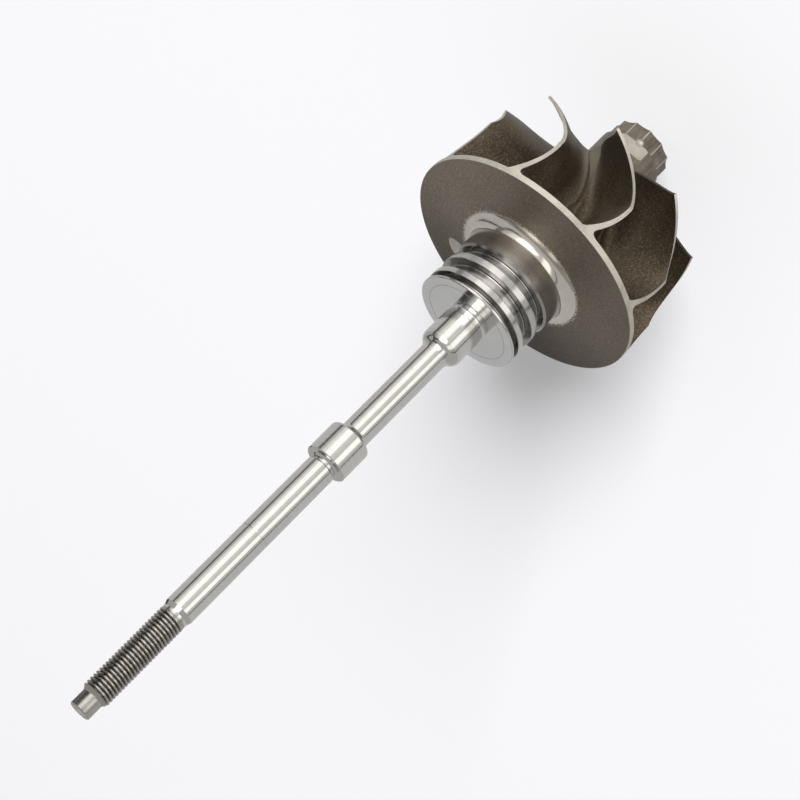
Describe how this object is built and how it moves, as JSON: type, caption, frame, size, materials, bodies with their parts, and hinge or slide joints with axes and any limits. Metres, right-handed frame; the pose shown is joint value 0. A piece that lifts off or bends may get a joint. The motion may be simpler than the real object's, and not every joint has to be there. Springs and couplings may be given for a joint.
{
  "type": "turbine shaft wheel",
  "caption": "Turbocharger rotor: a cast radial turbine wheel with curved blades and a wrench nose, welded to a ground steel shaft with a grooved seal hub, two journals and a threaded end.",
  "frame": {"origin": "centre of the nose's end face, the lowest point of the part as it stands on its nose", "axes": "+Z along the shaft's axis, from the wheel's nose towards the threaded end; +X and +Y square to it, with no feature of the shaft to set them"},
  "size_m": [0.074, 0.074, 0.2259],
  "materials": {
    "wheel_casting": "fine-grained nickel-alloy casting with ground rims",
    "shaft_steel": "turned and ground, bright"
  },
  "bodies": {
    "root": {"turbine_wheel": "wheel_casting", "rotor_shaft": "shaft_steel"}
  },
  "joints": []
}
